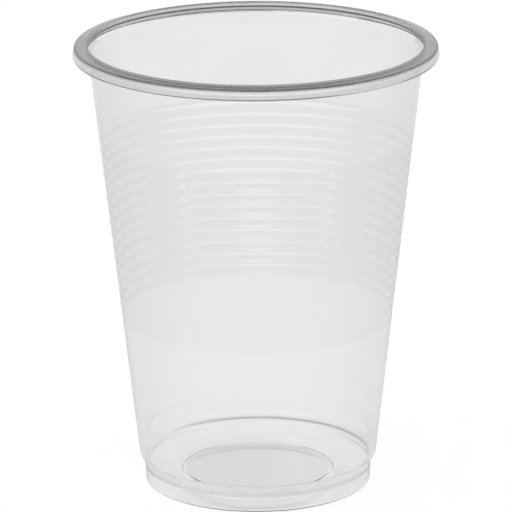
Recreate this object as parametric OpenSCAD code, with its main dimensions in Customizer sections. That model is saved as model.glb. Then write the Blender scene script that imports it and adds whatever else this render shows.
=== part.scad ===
// Clear disposable drinking cup, drawn from one thin plastic sheet.
// The sheet is followed along its middle line, from the centre of the base out to the foot, round the
// stacking groove, up the ringed wall and over the rolled rim. It gets its thickness along that line,
// and the finished section is turned about the Z axis. The cup stands on z = 0.

/* [Side wall] */
// Height from the table to the crown of the rim
cup_h = 90.8; // [82:0.2:110]
// Outside radius that the wall reaches at the height of the crown
mouth_r = 33.5; // [31:0.1:37]
// Outside radius at the foot of the wall, where the shoulder turns in
shoulder_r = 23.9; // [23.2:0.1:27]
// Height of the shoulder above the table
shoulder_h = 5.7; // [4.6:0.1:12]
// Rounding of the shoulder
shoulder_round = 0.6; // [0.3:0.05:0.8]
// Thickness of the drawn wall
wall_t = 0.18; // [0.14:0.01:0.4]

/* [Grip rings] */
// Number of shallow rings pressed into the wall
ring_count = 14; // [1:1:18]
// Distance from one ring to the next
ring_pitch = 2.46; // [2:0.02:3]
// Height of the lowest ring's bottom above the table
ring_low = 36.15; // [20:0.05:45]
// How deep each ring is pressed in
ring_depth = 0.09; // [0.05:0.01:0.3]

/* [Rim] */
// How far the rim reaches out from the wall
rim_reach = 2.6; // [2.4:0.05:4]
// Height of the rim's outer skirt, from its top edge to its lower edge
rim_skirt = 2.25; // [1.6:0.05:3.5]
// Extra reach at the skirt's lower edge
rim_flare = 0.35; // [0:0.05:0.5]
// How far the crown stands above the rim's outer edge
rim_crown = 0.5; // [0.2:0.05:0.8]
// Width of the crown's level top, before rounding
crown_w = 0.5; // [0.4:0.05:0.8]
// Width of the small ledge between the wall and the rim
ledge_w = 0.35; // [0.2:0.05:0.8]
// Rise of that ledge from the wall to the rim
ledge_rise = 0.75; // [0.3:0.05:1]
// Depth of the ledge's lower edge below the crown
ledge_drop = 2.35; // [1.6:0.05:3]
// How far the cut edge is rolled in under the rim
rim_tuck = 1.6; // [1:0.1:2]
// How far that edge turns up again inside the roll
rim_curl = 0.45; // [0.1:0.05:0.7]
// Thickness of the rim
rim_t = 0.38; // [0.3:0.02:0.5]
// Rounding of the rim's edges, on the middle line
rim_round = 0.32; // [0.26:0.02:0.4]
// Height below the crown at which the wall starts to thicken into the rim
rim_blend = 6; // [3:0.5:12]

/* [Foot] */
// Outside radius of the foot, just under the groove
foot_r = 22.9; // [22.2:0.1:23]
// Draft of the foot: how much slimmer it is at the table
foot_draft = 0.15; // [0:0.05:0.5]
// Radius of the groove's bottom, before rounding
groove_r = 22.3; // [21.4:0.05:22.5]
// Drop from the shoulder to the bottom of the groove
groove_drop = 0.8; // [0.3:0.05:1]
// Height of the groove's lower flank
groove_flank = 0.75; // [0.5:0.05:1.2]
// Rounding of the groove's bottom
groove_round = 0.24; // [0.2:0.01:0.3]
// Rounding between the foot's side and the flat ring that the cup stands on
foot_round = 0.45; // [0.3:0.05:0.7]
// Thickness of the foot and of that ring
foot_t = 0.26; // [0.2:0.02:0.4]

/* [Base] */
// Height of the raised disc in the middle of the base, on the middle line
disc_h = 1.95; // [1.4:0.05:3]
// Radius of that disc, before rounding
disc_r = 15.1; // [10:0.1:18]
// Rounding of the disc's edge
disc_round = 0.45; // [0.3:0.05:0.6]
// Thickness of the disc
disc_t = 0.4; // [0.3:0.02:0.5]
// Width of the flank that runs down from the disc to the standing ring
flank_w = 0.8; // [0.4:0.05:1.5]
// Rounding at the flank's foot
flank_round = 0.4; // [0.3:0.05:0.6]

/* [Hidden] */
$fn = 180;

// Steps in each rounded corner, and in each pressed ring
corner_steps = 6;
ring_steps = 8;

// Height at which the lowest ring begins
ring_from = ring_low - ring_pitch / 2;

// Heights of the groove's bottom and of the foot's widest place
groove_h = shoulder_h - groove_drop;
foot_top = groove_h - groove_flank;

// Radius of the foot's middle line at the table
foot_mid_r = foot_r - foot_draft - foot_t / 2;

// Middle lines of the rim's crown and of its outer edge
crown_z = cup_h - rim_t / 2;
edge_z = crown_z - rim_crown;
edge_r = mouth_r + rim_reach - rim_t / 2;

// Middle line of the wall at height z, leaving out the rings
function wall_mid(z) =
    mouth_r - (mouth_r - shoulder_r) * (cup_h - z) / (cup_h - shoulder_h) - wall_t / 2;

// How far the rings carry the wall in at height z
function ring_in(z) = ring_depth * (1 - cos(360 * (z - ring_from) / ring_pitch)) / 2;

// Each stretch of the middle line is a list of corners: [radius, height, rounding, thickness]
function base_line() = [
    [0, disc_h, 0, disc_t],
    [disc_r, disc_h, disc_round, disc_t],
    [disc_r + flank_w, foot_t / 2, flank_round, foot_t],
];

function foot_line() = [
    [foot_mid_r, foot_t / 2, foot_round, foot_t],
    [foot_r - foot_t / 2, foot_top, groove_round, foot_t],
    [groove_r, groove_h, groove_round, foot_t],
    [wall_mid(shoulder_h), shoulder_h, shoulder_round, wall_t],
];

function wall_line() = [
    for (k = [0 : ring_count * ring_steps])
        let (z = ring_from + k * ring_pitch / ring_steps)
            [wall_mid(z) - ring_in(z), z, 0, wall_t],
];

function rim_line() =
    let (
        ledge_z = cup_h - ledge_drop,
        ledge_r = wall_mid(ledge_z),
        lip_r = ledge_r + ledge_w,
        hem_r = edge_r + rim_flare,
        hem_z = edge_z - rim_skirt + rim_t
    )
    [
        [wall_mid(cup_h - rim_blend), cup_h - rim_blend, 0, wall_t],
        [ledge_r, ledge_z, rim_round, rim_t],
        [lip_r, ledge_z + ledge_rise, rim_round, rim_t],
        [lip_r, crown_z, rim_round, rim_t],
        [lip_r + crown_w, crown_z, rim_round, rim_t],
        [edge_r, edge_z, rim_round, rim_t],
        [hem_r, hem_z, rim_round, rim_t],
        [hem_r - rim_tuck / 2, hem_z, rim_round, rim_t],
        [hem_r - rim_tuck, hem_z + rim_curl, 0, rim_t],
    ];

function unit(v) = v / norm(v);
function turned(v, angle) =
    [v[0] * cos(angle) - v[1] * sin(angle), v[0] * sin(angle) + v[1] * cos(angle)];
function flat(c) = [c[0], c[1]];

// The corner at b, rounded between its neighbours a and c: a list of [point, thickness]
function rounded(a, b, c) =
    b[2] == 0 ? [[flat(b), b[3]]] :
    let (
        back = unit(flat(a) - flat(b)),
        ahead = unit(flat(c) - flat(b)),
        half = acos(back * ahead) / 2,
        centre = flat(b) + unit(back + ahead) * b[2] / sin(half),
        start = flat(b) + back * b[2] / tan(half) - centre,
        side = back[0] * ahead[1] - back[1] * ahead[0] > 0 ? -1 : 1,
        swept = side * (180 - 2 * half)
    )
    [for (k = [0 : corner_steps]) [centre + turned(start, swept * k / corner_steps), b[3]]];

// The whole middle line, every corner rounded
function sheet_line(c) = [
    for (k = [0 : len(c) - 1])
        each k == 0 || k == len(c) - 1 ? [[flat(c[k]), c[k][3]]] : rounded(c[k - 1], c[k], c[k + 1])
];

// Left-hand normal of the stretch from point k to the next one
function normal(p, k) =
    let (d = unit(p[k + 1][0] - p[k][0]))
    [-d[1], d[0]];

// Step from point k of the middle line to the skin on one side, so that the skins stay parallel to it
function skin_step(p, k) =
    let (
        before = normal(p, max(k - 1, 0)),
        after = normal(p, min(k, len(p) - 2))
    )
    (before + after) / (1 + before * after) * p[k][1] / 2;

// Gives a middle line its thickness and returns the closed outline of the section
function thickened(p) = concat(
    [for (k = [0 : len(p) - 1]) p[k][0] - skin_step(p, k)],
    [for (k = [len(p) - 1 : -1 : 0]) p[k][0] + skin_step(p, k)]
);

// The cup: the thickened section, turned about its axis
module cup() {
    corners = concat(base_line(), foot_line(), wall_line(), rim_line());
    color([0.9, 0.91, 0.92])
        rotate_extrude()
            polygon(thickened(sheet_line(corners)));
}

cup();
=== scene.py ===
"""Clear disposable drinking cup, standing on a white studio floor.

The real cup is one thin sheet of plastic. Its middle line is drawn here as a profile, from the centre
of the base out to the foot, up the ringed wall and over the rolled rim. The profile is spun about the
cup's axis, and the spun skin is given the sheet's own thickness at each height.
"""

import logging
import math
from dataclasses import dataclass, field
from functools import reduce
from operator import mul
from typing import Any, Iterator, Protocol, Union

import bpy
from mathutils import Matrix, Vector


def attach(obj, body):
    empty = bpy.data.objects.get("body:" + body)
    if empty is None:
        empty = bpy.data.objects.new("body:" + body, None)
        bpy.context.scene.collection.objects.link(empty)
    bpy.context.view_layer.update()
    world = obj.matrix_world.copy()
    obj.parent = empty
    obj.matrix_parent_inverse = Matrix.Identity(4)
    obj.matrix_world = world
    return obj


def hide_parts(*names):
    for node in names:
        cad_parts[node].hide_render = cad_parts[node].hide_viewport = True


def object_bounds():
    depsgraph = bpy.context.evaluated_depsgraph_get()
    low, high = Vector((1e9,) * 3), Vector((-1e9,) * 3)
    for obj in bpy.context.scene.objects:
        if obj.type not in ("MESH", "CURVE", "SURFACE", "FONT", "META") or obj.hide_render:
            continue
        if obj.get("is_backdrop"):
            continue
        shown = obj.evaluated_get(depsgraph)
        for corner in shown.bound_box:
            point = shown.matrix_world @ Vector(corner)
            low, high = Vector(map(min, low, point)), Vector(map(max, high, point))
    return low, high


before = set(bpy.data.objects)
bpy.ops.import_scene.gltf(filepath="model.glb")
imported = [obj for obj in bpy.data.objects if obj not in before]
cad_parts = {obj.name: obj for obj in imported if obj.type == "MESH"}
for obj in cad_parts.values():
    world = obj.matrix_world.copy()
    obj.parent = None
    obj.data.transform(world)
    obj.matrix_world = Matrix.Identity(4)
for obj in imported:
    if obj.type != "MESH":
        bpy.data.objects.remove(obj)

LOG = logging.getLogger("cup")

MM = 0.001
NODE = "cup"
BODY = "root"
SLOT = "clear_plastic"

Number = Union["Signal", float]


@dataclass(frozen=True)
class Corner:
    """A corner of the sheet's middle line, before it is rounded.

    Attributes:
        radius: distance from the cup's axis.
        height: height above the floor.
        rounding: radius of the arc that replaces the corner, or 0 to keep it sharp.
        thickness: thickness of the sheet at the corner.
    """

    radius: float
    height: float
    rounding: float
    thickness: float

    def point(self) -> Vector:
        """The corner in the XZ plane."""
        return Vector((self.radius, 0, self.height))


@dataclass(frozen=True)
class SideWall:
    """The tapered wall with its shallow pressed rings.

    Attributes:
        height: height of the whole cup.
        mouth_radius: outer radius that the taper reaches at the top of the cup.
        shoulder_radius: outer radius of the wall at the shoulder.
        shoulder_height: height of the shoulder.
        thickness: thickness of the sheet in the wall.
        ring_count: number of rings.
        ring_pitch: height of one ring.
        lowest_ring: height of the middle of the lowest ring.
        ring_depth: how far a ring is pressed in at its middle.
        steps_per_ring: steps that draw one ring.
    """

    height: float = 90.8 * MM
    mouth_radius: float = 33.5 * MM
    shoulder_radius: float = 23.9 * MM
    shoulder_height: float = 5.7 * MM
    thickness: float = 0.18 * MM
    ring_count: int = 15
    ring_pitch: float = 2.46 * MM
    lowest_ring: float = 36.15 * MM
    ring_depth: float = 0.09 * MM
    steps_per_ring: int = 12

    def middle(self, height: float) -> float:
        """Radius of the sheet's middle line, leaving out the rings.

        Args:
            height: height above the floor.

        Returns:
            The radius there.
        """
        share = (self.height - height) / (self.height - self.shoulder_height)
        outside = self.mouth_radius - (self.mouth_radius - self.shoulder_radius) * share
        return outside - self.thickness / 2

    def rings_bottom(self) -> float:
        """Height at which the lowest ring starts."""
        return self.lowest_ring - self.ring_pitch / 2

    def rings_top(self) -> float:
        """Height at which the top ring ends."""
        return self.rings_bottom() + self.ring_pitch * self.ring_count

    def corners(self) -> Iterator[Corner]:
        """Follows the rings, each one a full wave pressed in from the wall.

        Yields:
            A sharp corner at each step of each ring.
        """
        for step in range(self.ring_count * self.steps_per_ring + 1):
            turn = math.tau * step / self.steps_per_ring
            height = self.rings_bottom() + self.ring_pitch * step / self.steps_per_ring
            pressed = self.ring_depth * (1 - math.cos(turn)) / 2
            yield Corner(self.middle(height) - pressed, height, 0, self.thickness)


@dataclass(frozen=True)
class Foot:
    """The foot's side and the stacking groove over it.

    Attributes:
        wall: the wall over the foot.
        radius: outer radius of the foot's side at its top.
        draft: how much smaller that radius is at the table.
        groove_radius: radius of the middle line at the groove's bottom.
        groove_drop: how far the groove's bottom lies under the shoulder.
        groove_flank: height of the groove's lower flank.
        groove_rounding: radius of the arcs at the groove's bottom and lower edge.
        shoulder_rounding: radius of the arc at the shoulder.
        rounding: radius of the arc at the table.
        thickness: thickness of the sheet in the foot.
    """

    wall: SideWall
    radius: float = 22.9 * MM
    draft: float = 0.15 * MM
    groove_radius: float = 22.3 * MM
    groove_drop: float = 0.8 * MM
    groove_flank: float = 0.75 * MM
    groove_rounding: float = 0.24 * MM
    shoulder_rounding: float = 0.6 * MM
    rounding: float = 0.45 * MM
    thickness: float = 0.26 * MM

    def rest_outer(self) -> float:
        """Radius of the middle line at the table."""
        return self.radius - self.draft - self.thickness / 2

    def groove_height(self) -> float:
        """Height of the groove's bottom."""
        return self.wall.shoulder_height - self.groove_drop

    def corners(self) -> Iterator[Corner]:
        """Goes up the foot's side, in to the groove and out to the shoulder.

        Yields:
            Each corner on the way.
        """
        shoulder = self.wall.shoulder_height
        low = self.thickness / 2
        top = self.groove_height() - self.groove_flank
        yield Corner(self.rest_outer(), low, self.rounding, self.thickness)
        yield Corner(self.radius - low, top, self.groove_rounding, self.thickness)
        yield Corner(self.groove_radius, self.groove_height(), self.groove_rounding, self.thickness)
        yield Corner(self.wall.middle(shoulder), shoulder, self.shoulder_rounding, self.wall.thickness)


@dataclass(frozen=True)
class Base:
    """The raised, thicker disc in the middle of the base, with the flank that comes down from it.

    Attributes:
        foot: the foot around the base.
        height: height of the disc's middle line.
        radius: radius of the disc.
        rounding: radius of the arc at the disc's edge.
        thickness: thickness of the disc.
        flank_width: width of the flank, seen from above.
        flank_rounding: radius of the arc at the flank's lower end.
    """

    foot: Foot
    height: float = 1.95 * MM
    radius: float = 15.1 * MM
    rounding: float = 0.45 * MM
    thickness: float = 0.4 * MM
    flank_width: float = 0.8 * MM
    flank_rounding: float = 0.4 * MM

    def corners(self) -> Iterator[Corner]:
        """Goes from the cup's axis over the disc and down to the flat ring that the cup stands on.

        Yields:
            Each corner on the way.
        """
        low, sheet = self.foot.thickness / 2, self.foot.thickness
        yield Corner(0, self.height, 0, self.thickness)
        yield Corner(self.radius, self.height, self.rounding, self.thickness)
        yield Corner(self.radius + self.flank_width, low, self.flank_rounding, sheet)


@dataclass(frozen=True)
class Rim:
    """The rolled rim with the small ledge inside it.

    Attributes:
        wall: the wall under the rim.
        reach: how far the rim's outer edge lies outside the wall's mouth radius.
        skirt: height of the skirt's outer skin.
        flare: how much wider the skirt is at its hem than at the outer edge.
        crown: drop from the crown to the outer edge.
        crown_width: width of the flat of the crown.
        ledge_width: width of the ledge.
        ledge_rise: how much the ledge rises outwards.
        ledge_drop: depth of the ledge under the top of the cup.
        tuck: how far the sheet is rolled in under the rim.
        curl: rise of the cut edge there.
        thickness: thickness of the sheet in the rim.
        rounding: radius of the arcs between the rim's faces.
        blend: depth under the top of the cup where the wall starts to thicken.
    """

    wall: SideWall
    reach: float = 2.58 * MM
    skirt: float = 2.25 * MM
    flare: float = 0.35 * MM
    crown: float = 0.5 * MM
    crown_width: float = 0.5 * MM
    ledge_width: float = 0.35 * MM
    ledge_rise: float = 0.75 * MM
    ledge_drop: float = 2.35 * MM
    tuck: float = 1.6 * MM
    curl: float = 0.45 * MM
    thickness: float = 0.38 * MM
    rounding: float = 0.32 * MM
    blend: float = 6 * MM

    def crown_height(self) -> float:
        """Height of the crown's middle line."""
        return self.wall.height - self.thickness / 2

    def edge_height(self) -> float:
        """Height of the middle line at the rim's outer edge."""
        return self.crown_height() - self.crown

    def edge_radius(self) -> float:
        """Radius of the middle line at the rim's outer edge."""
        return self.wall.mouth_radius + self.reach - self.thickness / 2

    def outer_radius(self) -> float:
        """Radius of the outer skin at the rim's outer edge."""
        return self.edge_radius() + self.thickness / 2

    def ledge_radius(self) -> float:
        """Radius of the middle line where the wall turns out to the ledge."""
        return self.wall.middle(self.wall.height - self.ledge_drop)

    def lip_radius(self) -> float:
        """Radius of the inner skin over the ledge."""
        return self.ledge_radius() + self.ledge_width - self.thickness / 2

    def corners(self) -> Iterator[Corner]:
        """Goes up the wall, over the ledge and the crown, down the skirt and in to the cut edge.

        Yields:
            Each corner on the way.
        """
        start = self.wall.height - self.blend
        ledge = self.wall.height - self.ledge_drop
        inner, crown = self.ledge_radius(), self.crown_height()
        hem = self.edge_radius() + self.flare
        hem_height = self.edge_height() - self.skirt + self.thickness
        turn, sheet = self.rounding, self.thickness
        yield Corner(self.wall.middle(start), start, 0, self.wall.thickness)
        yield Corner(inner, ledge, turn, sheet)
        lip = inner + self.ledge_width
        yield Corner(lip, ledge + self.ledge_rise, turn, sheet)
        yield Corner(lip, crown, turn, sheet)
        yield Corner(lip + self.crown_width, crown, turn, sheet)
        yield Corner(self.edge_radius(), self.edge_height(), turn, sheet)
        yield Corner(hem, hem_height, turn, sheet)
        yield Corner(hem - self.tuck / 2, hem_height, turn, sheet)
        yield Corner(hem - self.tuck, hem_height + self.curl, 0, sheet)


@dataclass(frozen=True)
class Profile:
    """The sheet's middle line with its corners rounded.

    Attributes:
        corners: the corners, from the cup's axis to the cut edge.
        arc_steps: steps that draw one arc.
    """

    corners: tuple[Corner, ...]
    arc_steps: int = 8

    def points(self) -> Iterator[tuple[Vector, float]]:
        """Follows the line from the axis to the cut edge.

        Yields:
            Each point with the sheet's thickness there.
        """
        last = len(self.corners) - 1
        for index, corner in enumerate(self.corners):
            if corner.rounding == 0 or index in (0, last):
                yield corner.point(), corner.thickness
            else:
                yield from self.arc(self.corners[index - 1], corner, self.corners[index + 1])

    def arc(self, before: Corner, corner: Corner, after: Corner) -> Iterator[tuple[Vector, float]]:
        """Rounds one corner between its neighbours.

        Args:
            before: the corner before it.
            corner: the corner to round.
            after: the corner after it.

        Yields:
            The points of the arc, with the sheet's thickness.
        """
        middle = corner.point()
        back = (before.point() - middle).normalized()
        ahead = (after.point() - middle).normalized()
        half = back.angle(ahead) / 2
        centre = middle + (back + ahead).normalized() * corner.rounding / math.sin(half)
        start = middle + back * corner.rounding / math.tan(half) - centre
        axis = back.cross(ahead).normalized()
        for step in range(self.arc_steps + 1):
            turn = (math.pi - 2 * half) * step / self.arc_steps
            yield centre + Matrix.Rotation(-turn, 3, axis) @ start, corner.thickness


class Signal:
    """A number in a shader: a socket on which sums are written as plain expressions."""

    def __init__(self, bench: "Bench", socket: bpy.types.NodeSocket) -> None:
        """Wraps a socket.

        Args:
            bench: the bench that adds nodes to the socket's tree.
            socket: the output to build on.
        """
        self.bench = bench
        self.socket = socket

    def maths(self, operation: str, *numbers: Number) -> "Signal":
        """Adds one Math node.

        Args:
            operation: the node's operation.
            *numbers: what its sockets hold.

        Returns:
            The result.
        """
        sockets = dict(enumerate(numbers))
        return self.bench.signal("ShaderNodeMath", {"operation": operation}, sockets)

    def __add__(self, other: Number) -> "Signal":
        """Sum."""
        return self.maths("ADD", self, other)

    __radd__ = __add__

    def __sub__(self, other: Number) -> "Signal":
        """Difference."""
        return self.maths("SUBTRACT", self, other)

    def __rsub__(self, other: float) -> "Signal":
        """Difference from a number."""
        return self.maths("SUBTRACT", other, self)

    def __mul__(self, other: Number) -> "Signal":
        """Product."""
        return self.maths("MULTIPLY", self, other)

    __rmul__ = __mul__

    def __truediv__(self, other: Number) -> "Signal":
        """Quotient."""
        return self.maths("DIVIDE", self, other)

    def __pow__(self, other: float) -> "Signal":
        """Power."""
        return self.maths("POWER", self, other)

    def most(self, other: Number) -> "Signal":
        """The larger of two numbers."""
        return self.maths("MAXIMUM", self, other)

    def cosine(self) -> "Signal":
        """Cosine of an angle in radians."""
        return self.maths("COSINE", self)

    def arcsine(self) -> "Signal":
        """Angle in radians that has this sine."""
        return self.maths("ARCSINE", self)

    def step(self, none: float, full: float) -> "Signal":
        """A soft step.

        Args:
            none: the number up to which the step is 0.
            full: the number from which it is 1, which may be the smaller one.

        Returns:
            The step.
        """
        settings = {"interpolation_type": "SMOOTHSTEP"}
        ends = {1: none, 2: full} if none < full else {1: full, 2: none, 3: 1.0, 4: 0.0}
        return self.bench.signal("ShaderNodeMapRange", settings, {0: self} | ends)

    def band(self, low: float, high: float, soft: float) -> "Signal":
        """1 between low and high, with soft edges outside them."""
        return self.step(low - soft, low) * self.step(high + soft, high)

    def line(self, middle: float, width: float, soft: float) -> "Signal":
        """1 along a line of this width, with soft edges outside it."""
        return self.band(middle - width / 2, middle + width / 2, soft)


class Bench:
    """Adds nodes to one node tree."""

    def __init__(self, tree: bpy.types.NodeTree) -> None:
        """Clears the tree.

        Args:
            tree: the tree of a material or of the world.
        """
        self.tree = tree
        tree.nodes.clear()

    def node(self, kind: str, settings: dict[str, Any], sockets: dict[Any, Any]) -> bpy.types.Node:
        """Adds a node.

        Args:
            kind: the node's type.
            settings: its own settings, set first.
            sockets: the value or the link of each input, by name or place.

        Returns:
            The node.
        """
        node = self.tree.nodes.new(kind)
        for name, value in settings.items():
            setattr(node, name, value)
        for name, value in sockets.items():
            source = value.socket if isinstance(value, Signal) else value
            if isinstance(source, bpy.types.NodeSocket):
                self.tree.links.new(source, node.inputs[name])
            else:
                node.inputs[name].default_value = source
        return node

    def signal(self, kind: str, settings: dict[str, Any], sockets: dict[Any, Any], out: Any = 0) -> Signal:
        """Adds a node and takes one number from it.

        Args:
            kind: the node's type.
            settings: its own settings.
            sockets: its inputs.
            out: the output to take.

        Returns:
            That output.
        """
        return Signal(self, self.node(kind, settings, sockets).outputs[out])


@dataclass(frozen=True)
class Places:
    """Where a point of the cup is, for the shader.

    Attributes:
        x: its distance to the right of the cup's axis.
        y: its distance behind the cup's axis.
        height: its height above the floor.
        radius: its distance from the cup's axis.
        spot: the whole point, for textures.
    """

    x: Signal
    y: Signal
    height: Signal
    radius: Signal
    spot: bpy.types.NodeSocket

    @classmethod
    def on(cls, bench: Bench) -> "Places":
        """Reads the Object coordinates.

        Args:
            bench: the tree to add to.

        Returns:
            The coordinates as numbers, with the distance from the cup's axis.
        """
        spot = bench.node("ShaderNodeTexCoord", {}, {}).outputs["Object"]
        split = bench.node("ShaderNodeSeparateXYZ", {}, {0: spot})
        x, y, height = (Signal(bench, split.outputs[axis]) for axis in "XYZ")
        return cls(x, y, height, (x * x + y * y) ** 0.5, spot)

    @property
    def bench(self) -> Bench:
        """The bench that the coordinates are read on."""
        return self.height.bench

    def blotches(self, size: float, stretch: float = 1.0) -> Signal:
        """Soft noise from 0 to 1.

        Args:
            size: the width of one blotch.
            stretch: how many times as tall as wide it is.

        Returns:
            The noise.
        """
        scale = (1 / size, 1 / size, 1 / (size * stretch))
        place = self.bench.node("ShaderNodeMapping", {}, {"Vector": self.spot, "Scale": scale})
        return self.bench.signal(
            "ShaderNodeTexNoise", {}, {"Vector": place.outputs[0], "Scale": 1.0, "Detail": 2.0}
        )


class Greying(Protocol):
    """Something that makes the clear plastic greyer in some places; some are the plastic's own grey and
    some are painted shade.
    """

    def clear(self, places: Places) -> Signal:
        """Says how clear the plastic is.

        Args:
            places: where the shaded point is.

        Returns:
            1 where the plastic is left as it is, and less where it is greyer.
        """


@dataclass(frozen=True)
class SlantTint:
    """The sheet is greyer where it is seen at a slant, most of all in the ringed part.

    Attributes:
        wall: the wall's sizes.
        grey: how grey the sheet is when seen edge-on.
        ringed_grey: how much greyer the ringed part is then.
        power: how late the grey comes in as the sheet turns away.
        blend: setting of the node that tells how far it is turned away.
        base_top: height up to which the base is left clear.
        under_rings: how far under the lowest ring the grey of the ringed part starts.
        into_rings: how far over the lowest ring it is full.
    """

    wall: SideWall
    grey: float = 0.13
    ringed_grey: float = 0.06
    power: float = 1.3
    blend: float = 0.5
    base_top: float = 1.5 * MM
    under_rings: float = 8 * MM
    into_rings: float = 12 * MM

    def clear(self, places: Places) -> Signal:
        """How clear the slanted sheet is."""
        facing = places.bench.signal("ShaderNodeLayerWeight", {}, {"Blend": self.blend}, "Facing")
        rings = self.wall.lowest_ring
        ringed = places.height.step(rings - self.under_rings, rings + self.into_rings)
        upright = places.height.step(self.base_top, self.wall.shoulder_height)
        return 1 - facing**self.power * (self.grey * upright + self.ringed_grey * ringed)


@dataclass(frozen=True)
class RingGreyAndShade:
    """The ringed part is faintly grey, with a painted line of shade along each ring for the rings' dim
    reflections, painted fainter in front.

    Attributes:
        wall: the wall's sizes.
        grey: how grey the whole ringed part is.
        ring_shade_grey: how dark the painted shade line is.
        ring_shade_place: height of the painted shade line in its ring, as a share of the ring's height.
        front_shade_share: share of the painted shade that is left in front.
        soft: height over which the grey fades out past the rings.
    """

    wall: SideWall
    grey: float = 0.02
    ring_shade_grey: float = 0.04
    ring_shade_place: float = 0.25
    front_shade_share: float = 0.2
    soft: float = 1 * MM

    def clear(self, places: Places) -> Signal:
        """How clear the ringed part is, with its painted ring shade."""
        low, high = self.wall.rings_bottom(), self.wall.rings_top()
        turn = ((places.height - low) / self.wall.ring_pitch - self.ring_shade_place) * math.tau
        # Painted shade along each ring, fainter in front than behind.
        behind = places.y.step(-self.wall.shoulder_radius, 0)
        share = self.front_shade_share + (1 - self.front_shade_share) * behind
        line = (turn.cosine() + 1) / 2 * share
        return 1 - (self.ring_shade_grey * line + self.grey) * places.height.band(low, high, self.soft)


@dataclass(frozen=True)
class CrownShade:
    """The crown of the rim carries painted shade for the dark that the rolled rim refracts, painted
    lighter behind.

    Attributes:
        rim: the rim's sizes.
        grey: how dark the crown's painted shade is.
        painted_back_light: share of the painted shade that is taken off at the back, which paints the back
            lighter.
        under_edge: how far under the outer edge the grey starts.
        full_under_edge: how far under the outer edge it is full.
        past_edge: how far it reaches past the outer skin.
        soft: distance over which it fades out at its sides.
    """

    rim: Rim
    grey: float = 0.4
    painted_back_light: float = 0.6
    under_edge: float = 0.6 * MM
    full_under_edge: float = 0.1 * MM
    past_edge: float = 0.1 * MM
    soft: float = 0.15 * MM

    def crown(self, places: Places) -> Signal:
        """1 on the crown of the rim."""
        edge = self.rim.edge_height()
        outer = self.rim.outer_radius() + self.past_edge
        across = places.radius.band(self.rim.lip_radius(), outer, self.soft)
        return across * places.height.step(edge - self.under_edge, edge - self.full_under_edge)

    def clear(self, places: Places) -> Signal:
        """How clear the crown is under its painted shade, which is painted lighter at the back."""
        # Painted shade on the crown, lighter at the back.
        behind = places.y.step(0, self.rim.edge_radius())
        return 1 - self.grey * self.crown(places) * (1 - self.painted_back_light * behind)


@dataclass(frozen=True)
class SkirtGreyAndEdgeShade:
    """The skirt of the rim is faintly grey, under a painted line of shade along the outer edge.

    Attributes:
        rim: the rim's sizes.
        grey: how grey the skirt is.
        reach: how far inside the outer skin the grey starts.
        full_reach: how far inside the outer skin it is full.
        edge_shade: how dark the painted shade line along the outer edge is.
        edge_width: height of the edge's line.
        edge_soft: height over which the line fades out.
    """

    rim: Rim
    grey: float = 0.05
    reach: float = 0.6 * MM
    full_reach: float = 0.3 * MM
    edge_shade: float = 0.6
    edge_width: float = 0.2 * MM
    edge_soft: float = 0.1 * MM

    def clear(self, places: Places) -> Signal:
        """How clear the skirt is, and the outer edge over it with its painted shade line."""
        outer, corner = self.rim.outer_radius(), self.rim.edge_height()
        skirt = places.radius.step(outer - self.reach, outer - self.full_reach)
        # Painted shade line along the rim's outer edge.
        edge = places.height.band(corner, corner + self.edge_width, self.edge_soft) * skirt
        return (1 - self.grey * skirt) * (1 - self.edge_shade * edge)


@dataclass(frozen=True)
class FoldShade:
    """A painted line of shade marks where the sheet turns down inside the rim, over a band of painted
    shade at the back.

    Attributes:
        rim: the rim's sizes.
        grey: how dark the fold's painted shade line is.
        depth: depth of the fold under the top of the cup.
        width: height of the fold's line.
        soft: height over which the line fades out.
        back_band_shade: how dark the band of painted shade is at the back.
        band_height: height of the band.
        band_soft: height over which the band fades out.
        inset: how far inside the outer skin both of them start.
        full_inset: how far inside the outer skin both are full.
    """

    rim: Rim
    grey: float = 0.8
    depth: float = 0.95 * MM
    width: float = 0.2 * MM
    soft: float = 0.15 * MM
    back_band_shade: float = 0.4
    band_height: float = 0.7 * MM
    band_soft: float = 0.1 * MM
    inset: float = 1.9 * MM
    full_inset: float = 2.1 * MM

    def clear(self, places: Places) -> Signal:
        """How clear the fold and the band under it are, under their painted shade."""
        fold = self.rim.wall.height - self.depth
        outer = self.rim.outer_radius()
        inside = places.radius.step(outer - self.inset, outer - self.full_inset)
        behind = places.y.step(0, self.rim.edge_radius())
        # Painted shade: a dark line at the fold, and a band under it at the back only.
        line = places.height.line(fold, self.width, self.soft) * inside
        back_shade_band = places.height.band(fold - self.band_height, fold, self.band_soft) * inside * behind
        return (1 - self.grey * line) * (1 - self.back_band_shade * back_shade_band)


@dataclass(frozen=True)
class CreaseShade:
    """A thin painted line of shade runs along the bottom of the stacking groove, and fades out in front.

    Attributes:
        foot: the foot's sizes.
        grey: how dark the painted shade line is at the back.
        width: height of the line.
        soft: height over which it fades out.
        lean: how much more of it shows on the right than on the left.
        fade_from: share of the groove's radius, counted to the back, where the line starts.
        fade_to: share where it is full.
    """

    foot: Foot
    grey: float = 0.5
    width: float = 0.2 * MM
    soft: float = 0.15 * MM
    lean: float = 0.4
    fade_from: float = 0.1
    fade_to: float = 0.9

    def clear(self, places: Places) -> Signal:
        """How clear the groove is, under its painted shade line."""
        # Painted shade along the groove's bottom, shown at the back and more on the right.
        line = places.height.line(self.foot.groove_height(), self.width, self.soft)
        across, behind = places.x / self.foot.groove_radius, places.y / self.foot.groove_radius
        shown = (behind + self.lean * across).step(self.fade_from, self.fade_to)
        return 1 - self.grey * line * shown


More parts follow.
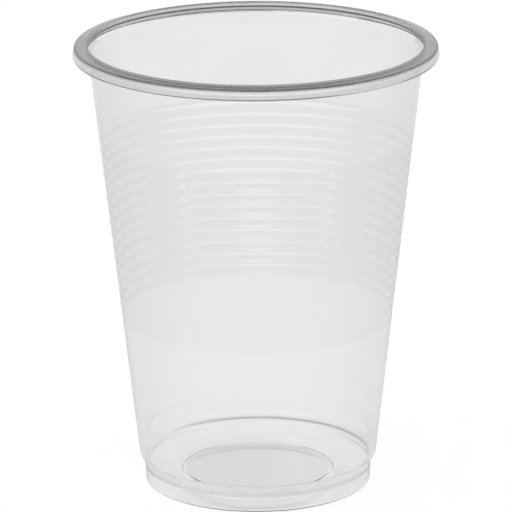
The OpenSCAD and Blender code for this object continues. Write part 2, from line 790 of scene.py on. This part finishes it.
@dataclass(frozen=True)
class DiscTint:
    """The thicker disc in the base is a little greyer.

    Attributes:
        base: the base's sizes.
        grey: how grey the disc is.
        soft: distance over which the grey fades out, both outwards and upwards.
        top: height up to which it is full.
    """

    base: Base
    grey: float = 0.1
    soft: float = 1 * MM
    top: float = 3 * MM

    def clear(self, places: Places) -> Signal:
        """How clear the disc is."""
        inside = places.radius.step(self.base.radius, self.base.radius - self.soft)
        return 1 - self.grey * inside * places.height.step(self.top + self.soft, self.top)


@dataclass(frozen=True)
class StreakTint:
    """Faint upright streaks run along the sheet.

    Attributes:
        grey: how grey the streaks are.
        width: width of one streak.
        stretch: how many times as tall as wide it is.
    """

    grey: float = 0.02
    width: float = 1.2 * MM
    stretch: float = 20.0

    def clear(self, places: Places) -> Signal:
        """How clear the streaked sheet is."""
        return 1 - self.grey * places.blotches(self.width, self.stretch)


@dataclass(frozen=True)
class Haze:
    """The sheet is hazier on the crown of the rim, in the foot and the base, and most at the groove.

    Attributes:
        crown: the crown's painted shade, which tells where the crown is.
        foot: the foot's sizes.
        everywhere: roughness of the whole sheet.
        on_crown: how much rougher the crown is.
        on_base: how much rougher the foot and the base are.
        on_groove: how much rougher the groove is.
        base_end: height of the end of the base's haze, counted from the shoulder.
        base_full: height up to which that haze is full, counted from the shoulder.
        groove_low: lower end of the groove's haze, counted from the shoulder.
        groove_high: upper end of the groove's haze, counted from the shoulder.
        groove_soft: height over which the groove's haze fades out.
    """

    crown: CrownShade
    foot: Foot
    everywhere: float = 0.03
    on_crown: float = 0.2
    on_base: float = 0.05
    on_groove: float = 0.6
    base_end: float = 1 * MM
    base_full: float = -0.5 * MM
    groove_low: float = -2.2 * MM
    groove_high: float = -0.1 * MM
    groove_soft: float = 0.5 * MM

    def roughness(self, places: Places) -> Signal:
        """Says how rough the sheet is.

        Args:
            places: where the shaded point is.

        Returns:
            The roughness.
        """
        shoulder = self.foot.wall.shoulder_height
        base = places.height.step(shoulder + self.base_end, shoulder + self.base_full)
        groove = places.height.band(
            shoulder + self.groove_low, shoulder + self.groove_high, self.groove_soft
        )
        haze = self.on_crown * self.crown.crown(places) + self.on_base * base + self.on_groove * groove
        return self.everywhere + haze


@dataclass(frozen=True)
class ClearPlastic:
    """Clear polypropylene, with its greyer and its hazier places; some of the grey is painted shade.

    Attributes:
        greyings: what makes it greyer in places, the plastic's own greys and painted shade.
        haze: what makes it hazier in places.
        slot: name of the material.
        bend: index of refraction.
        shadow: share of a lamp's light that each skin lets through.
        wave: height of the soft waves in the skin.
        wave_width: width of one wave.
    """

    greyings: tuple[Greying, ...]
    haze: Haze
    slot: str = SLOT
    bend: float = 1.49
    shadow: float = 0.95
    wave: float = 0.012 * MM
    wave_width: float = 9 * MM

    @classmethod
    def of_cup(cls, wall: SideWall, rim: Rim, foot: Foot, base: Base) -> "ClearPlastic":
        """Places the greys, painted shade among them, and the haze on the cup.

        Args:
            wall: the wall's sizes.
            rim: the rim's sizes.
            foot: the foot's sizes.
            base: the base's sizes.

        Returns:
            The finish.
        """
        crown = CrownShade(rim)
        on_wall = SlantTint(wall), RingGreyAndShade(wall), StreakTint()
        on_rim = crown, SkirtGreyAndEdgeShade(rim), FoldShade(rim)
        on_base = CreaseShade(foot), DiscTint(base)
        return cls(on_wall + on_rim + on_base, Haze(crown, foot))

    def material(self) -> bpy.types.Material:
        """Builds the material.

        Returns:
            The material.
        """
        made = bpy.data.materials.new(self.slot)
        made.use_nodes = True
        bench = Bench(made.node_tree)
        places = Places.on(bench)
        # The plastic's own greys and the painted shade are multiplied together here.
        clear = reduce(mul, (greying.clear(places) for greying in self.greyings))
        grey = bench.node("ShaderNodeCombineColor", {}, {0: clear, 1: clear, 2: clear})
        waves = self.wave * places.blotches(self.wave_width)
        bump = bench.node("ShaderNodeBump", {}, {"Strength": 1.0, "Distance": 1.0, "Height": waves})
        skin = bench.node(
            "ShaderNodeBsdfPrincipled",
            {},
            {
                "Base Color": grey.outputs[0],
                "Normal": bump.outputs[0],
                "Transmission Weight": 1.0,
                "IOR": self.bend,
                "Roughness": self.haze.roughness(places),
            },
        )
        lamp_side = bench.node(
            "ShaderNodeBsdfTransparent", {}, {"Color": (self.shadow, self.shadow, self.shadow, 1)}
        )
        path = bench.node("ShaderNodeLightPath", {}, {})
        both = bench.node(
            "ShaderNodeMixShader",
            {},
            {0: path.outputs["Is Shadow Ray"], 1: skin.outputs[0], 2: lamp_side.outputs[0]},
        )
        bench.node("ShaderNodeOutputMaterial", {}, {"Surface": both.outputs[0]})
        return made


@dataclass
class Cup:
    """The whole cup: one sheet from the middle of the base to the cut edge under the rim.

    Attributes:
        wall: the wall, against which the other parts of the sheet are placed.
        segments: steps of the spin.
        seam: distance within which the points of the seam and of the pole are joined.
        smooth_angle: angle in degrees up to which neighbouring faces are shaded as one.
        name: name of the piece.
    """

    wall: SideWall = field(default_factory=SideWall)
    segments: int = 160
    seam: float = 0.001 * MM
    smooth_angle: float = 35.0
    name: str = "cup_shell"

    def __post_init__(self) -> None:
        """Places the other parts of the sheet against the wall, and the finish on all of them."""
        self.rim = Rim(self.wall)
        self.foot = Foot(self.wall)
        self.base = Base(self.foot)
        self.finish = ClearPlastic.of_cup(self.wall, self.rim, self.foot, self.base)

    def profile(self) -> Profile:
        """The whole middle line."""
        stretches = (self.base, self.foot, self.wall, self.rim)
        return Profile(tuple(corner for stretch in stretches for corner in stretch.corners()))

    def build(self) -> bpy.types.Object:
        """Models the cup and dresses it.

        Returns:
            The finished piece.
        """
        cup = self.draw_profile()
        self.spin()
        self.thicken(cup)
        cup.data.materials.append(self.finish.material())
        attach(cup, BODY)
        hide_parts(NODE)
        return cup

    def draw_profile(self) -> bpy.types.Object:
        """Draws the middle line by extruding one point from each place to the next.

        Returns:
            The line, with the sheet's thickness as a vertex group.
        """
        points = list(self.profile().points())
        bpy.ops.object.select_all(action="DESELECT")
        bpy.ops.mesh.primitive_plane_add(size=1 * MM, location=(0, 0, 0))
        line = bpy.context.object
        line.name = self.name
        bpy.ops.object.mode_set(mode="EDIT")
        bpy.ops.mesh.select_mode(type="VERT")
        bpy.ops.mesh.merge(type="CENTER")
        bpy.ops.transform.translate(value=points[0][0])
        for (place, _), (following, _) in zip(points, points[1:]):
            bpy.ops.mesh.extrude_region_move(TRANSFORM_OT_translate={"value": following - place})
        bpy.ops.object.mode_set(mode="OBJECT")
        thickest = max(thickness for _, thickness in points)
        group = line.vertex_groups.new(name="sheet")
        for index, (_, thickness) in enumerate(points):
            group.add([index], thickness / thickest, "REPLACE")
        return line

    def spin(self) -> None:
        """Spins the line, which is the active object, into the middle surface, and closes its seam."""
        bpy.ops.object.mode_set(mode="EDIT")
        bpy.ops.mesh.select_all(action="SELECT")
        bpy.ops.mesh.spin(steps=self.segments, angle=math.tau, center=(0, 0, 0), axis=(0, 0, 1))
        bpy.ops.mesh.select_all(action="SELECT")
        bpy.ops.mesh.remove_doubles(threshold=self.seam)
        bpy.ops.mesh.normals_make_consistent(inside=False)
        bpy.ops.object.mode_set(mode="OBJECT")

    def thicken(self, cup: bpy.types.Object) -> None:
        """Gives the middle surface the sheet's thickness, half to each side.

        Args:
            cup: the middle surface, which becomes the closed shell.
        """
        sheet = cup.modifiers.new("sheet", "SOLIDIFY")
        sheet.thickness = max(thickness for _, thickness in self.profile().points())
        sheet.offset = 0
        sheet.use_even_offset = True
        sheet.vertex_group = "sheet"
        bpy.ops.object.modifier_apply(modifier=sheet.name)
        bpy.ops.object.shade_smooth_by_angle(angle=math.radians(self.smooth_angle))


@dataclass(frozen=True)
class Rays:
    """What kind of ray meets the floor or the surround.

    Attributes:
        camera: 1 where it is seen directly.
        seen: 1 where it is seen directly, in a reflection or through the plastic, and 0 for light
            on its way.
    """

    camera: Signal
    seen: Signal

    @classmethod
    def on(cls, bench: Bench) -> "Rays":
        """Reads the light path.

        Args:
            bench: the tree to add to.

        Returns:
            Both numbers.
        """
        path = bench.node("ShaderNodeLightPath", {}, {})
        camera, glossy, through = (
            Signal(bench, path.outputs[f"Is {ray} Ray"]) for ray in ("Camera", "Glossy", "Transmission")
        )
        return cls(camera, camera.most(glossy).most(through))


@dataclass(frozen=True)
class Floor:
    """The plain white floor, which shows the cup's soft shadow.

    Attributes:
        side: length of its sides.
        colour: level of its paint, for the light that it throws back.
        pale: level seen in reflections and through the plastic.
        lit_share: part of the seen level that takes the lamps' light, and so the shadow.
        gap: how far it lies under the cup's foot.
    """

    side: float = 6.0
    colour: float = 0.85
    pale: float = 0.84
    lit_share: float = 0.2
    gap: float = 0.02 * MM

    def build(self) -> bpy.types.Object:
        """Lays the floor.

        Returns:
            The floor.
        """
        bpy.ops.object.select_all(action="DESELECT")
        bpy.ops.mesh.primitive_plane_add(size=self.side, location=(0, 0, -self.gap))
        floor = bpy.context.object
        floor.name = "studio_floor"
        floor.data.materials.append(self.material())
        floor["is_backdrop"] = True
        return floor

    def material(self) -> bpy.types.Material:
        """White where it is seen, and plain pale paint for the light that it throws back."""
        made = bpy.data.materials.new("studio_white")
        made.use_nodes = True
        bench = Bench(made.node_tree)
        rays = Rays.on(bench)
        paint = bench.node("ShaderNodeBsdfDiffuse", {}, {"Color": (self.colour,) * 3 + (1,)})
        lit = bench.node("ShaderNodeBsdfDiffuse", {}, {"Color": (self.lit_share,) * 3 + (1,)})
        level = self.pale + (1 - self.pale) * rays.camera - self.lit_share
        glow = bench.node("ShaderNodeEmission", {}, {"Color": (1, 1, 1, 1), "Strength": level})
        shown = bench.node("ShaderNodeAddShader", {}, {0: lit.outputs[0], 1: glow.outputs[0]})
        both = bench.node(
            "ShaderNodeMixShader", {}, {0: rays.seen, 1: paint.outputs[0], 2: shown.outputs[0]}
        )
        bench.node("ShaderNodeOutputMaterial", {}, {"Surface": both.outputs[0]})
        return made


@dataclass(frozen=True)
class Surround:
    """The room around the floor: even ambient light, and what is seen in reflections.

    Attributes:
        ambient: level of the light that falls on the cup from all sides.
        dim: level seen where there is neither the back wall nor the strip.
        back: level of the back wall.
        back_top: angle up to which the back wall is even, in degrees over the floor.
        back_soft: angle over which it fades out above that.
        back_from: share of a direction that points back, where the wall starts.
        back_full: share where the wall is even.
        strip: level of the strip of light in front.
        strip_low: angle of its lower edge.
        strip_high: angle of its upper edge.
        strip_soft: angle over which its edges fade.
        strip_end: share of a direction that points back, where the strip has faded out.
    """

    ambient: float = 0.75
    dim: float = 0.4
    back: float = 0.84
    back_top: float = 38.0
    back_soft: float = 8.0
    back_from: float = -0.1
    back_full: float = 0.3
    strip: float = 1.45
    strip_low: float = 5.5
    strip_high: float = 11.0
    strip_soft: float = 1.5
    strip_end: float = 0.4

    def build(self) -> bpy.types.World:
        """Makes the world.

        Returns:
            The world, which is in use.
        """
        world = bpy.data.worlds.new("studio_surround")
        bpy.context.scene.world = world
        world.use_nodes = True
        bench = Bench(world.node_tree)
        rays = Rays.on(bench)
        room = self.reflected(bench)
        white = (1, 1, 1, 1)
        light = bench.node("ShaderNodeBackground", {}, {"Color": white, "Strength": self.ambient})
        level = room + (1 - room) * rays.camera
        view = bench.node("ShaderNodeBackground", {}, {"Color": white, "Strength": level})
        both = bench.node(
            "ShaderNodeMixShader", {}, {0: rays.seen, 1: light.outputs[0], 2: view.outputs[0]}
        )
        bench.node("ShaderNodeOutputWorld", {}, {"Surface": both.outputs[0]})
        return world

    def reflected(self, bench: Bench) -> Signal:
        """What the room shows in reflections: a pale wall behind, and a low strip of light in front.

        Args:
            bench: the tree to add to.

        Returns:
            The level in each direction.
        """
        where = bench.node("ShaderNodeTexCoord", {}, {})
        split = bench.node("ShaderNodeSeparateXYZ", {}, {0: where.outputs["Generated"]})
        behind, up = (Signal(bench, split.outputs[axis]) for axis in "YZ")
        angle = up.arcsine() * math.degrees(1)
        wall = behind.step(self.back_from, self.back_full)
        wall = wall * angle.step(self.back_top + self.back_soft, self.back_top)
        strip = behind.step(self.strip_end, 0)
        strip = strip * angle.band(self.strip_low, self.strip_high, self.strip_soft)
        return self.dim + (self.back - self.dim) * wall + (self.strip - self.dim) * strip


@dataclass(frozen=True)
class SoftLamp:
    """A large, round, soft lamp that faces the cup.

    Attributes:
        name: name of the lamp.
        place: where it hangs.
        width: its diameter.
        power: its power in watts.
    """

    name: str
    place: tuple[float, float, float]
    width: float
    power: float

    def build(self, target: Vector) -> bpy.types.Object:
        """Hangs the lamp.

        Args:
            target: the point that it faces.

        Returns:
            The lamp.
        """
        lamp = bpy.data.lights.new(self.name, "AREA")
        lamp.shape = "DISK"
        lamp.size = self.width
        lamp.energy = self.power
        holder = bpy.data.objects.new(self.name, lamp)
        bpy.context.scene.collection.objects.link(holder)
        holder.location = self.place
        towards = target - Vector(self.place)
        holder.rotation_euler = towards.to_track_quat("-Z", "Y").to_euler()
        return holder


@dataclass(frozen=True)
class PhotoCamera:
    """The camera at the photograph's viewing angle.

    Attributes:
        elevation: angle at which it looks down, in degrees.
        distance: distance from the point that it looks at.
        target: that point.
        roll: its turn about its own axis, in degrees.
        focal_px: focal length, in pixels of the photograph.
        frame_px: width of the photograph, in pixels.
        sensor: width of the sensor, in millimetres.
    """

    elevation: float = 16.655
    distance: float = 1.0017
    target: tuple[float, float, float] = (-0.000193, 0.0, 0.0465)
    roll: float = 0.29
    focal_px: float = 4994.4
    frame_px: int = 512
    sensor: float = 36.0

    def build(self) -> bpy.types.Object:
        """Places the camera and makes it the scene's.

        Returns:
            The camera.
        """
        lens = bpy.data.cameras.new("photo_camera")
        lens.sensor_width = self.sensor
        lens.lens = self.focal_px * self.sensor / self.frame_px
        camera = bpy.data.objects.new("photo_camera", lens)
        bpy.context.scene.collection.objects.link(camera)
        angle = math.radians(self.elevation)
        back = Vector((0, -math.cos(angle), math.sin(angle)))
        right = Vector((1, 0, 0))
        turn = Matrix((right, back.cross(right), back)).transposed()
        turn = turn @ Matrix.Rotation(-math.radians(self.roll), 3, "Z")
        place = Vector(self.target) + back * self.distance
        camera.matrix_world = Matrix.Translation(place) @ turn.to_4x4()
        bpy.context.scene.camera = camera
        return camera


@dataclass(frozen=True)
class Studio:
    """The floor, the surround, the lamps and the camera."""

    floor: Floor = Floor()
    surround: Surround = Surround()
    camera: PhotoCamera = PhotoCamera()
    lamps: tuple[SoftLamp, ...] = (
        SoftLamp("key_lamp", (-0.9, -0.7, 1.3), width=2.0, power=11.6),
        SoftLamp("fill_lamp", (1.1, 0.3, 1.1), width=1.2, power=4.0),
    )

    def build(self, target: Vector) -> None:
        """Sets the studio up.

        Args:
            target: the point that the lamps face.
        """
        self.floor.build()
        self.surround.build()
        for lamp in self.lamps:
            lamp.build(target)
        self.camera.build()
        bpy.context.scene.view_settings.view_transform = "Standard"


def main() -> None:
    """Builds the cup and its studio."""
    logging.basicConfig(level=logging.INFO, format="%(name)s: %(message)s")
    cad_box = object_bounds()
    cup = Cup().build()
    LOG.info("%s: %d faces", cup.name, len(cup.data.polygons))
    Studio().build((cad_box[0] + cad_box[1]) / 2)


if __name__ == "__main__":
    main()
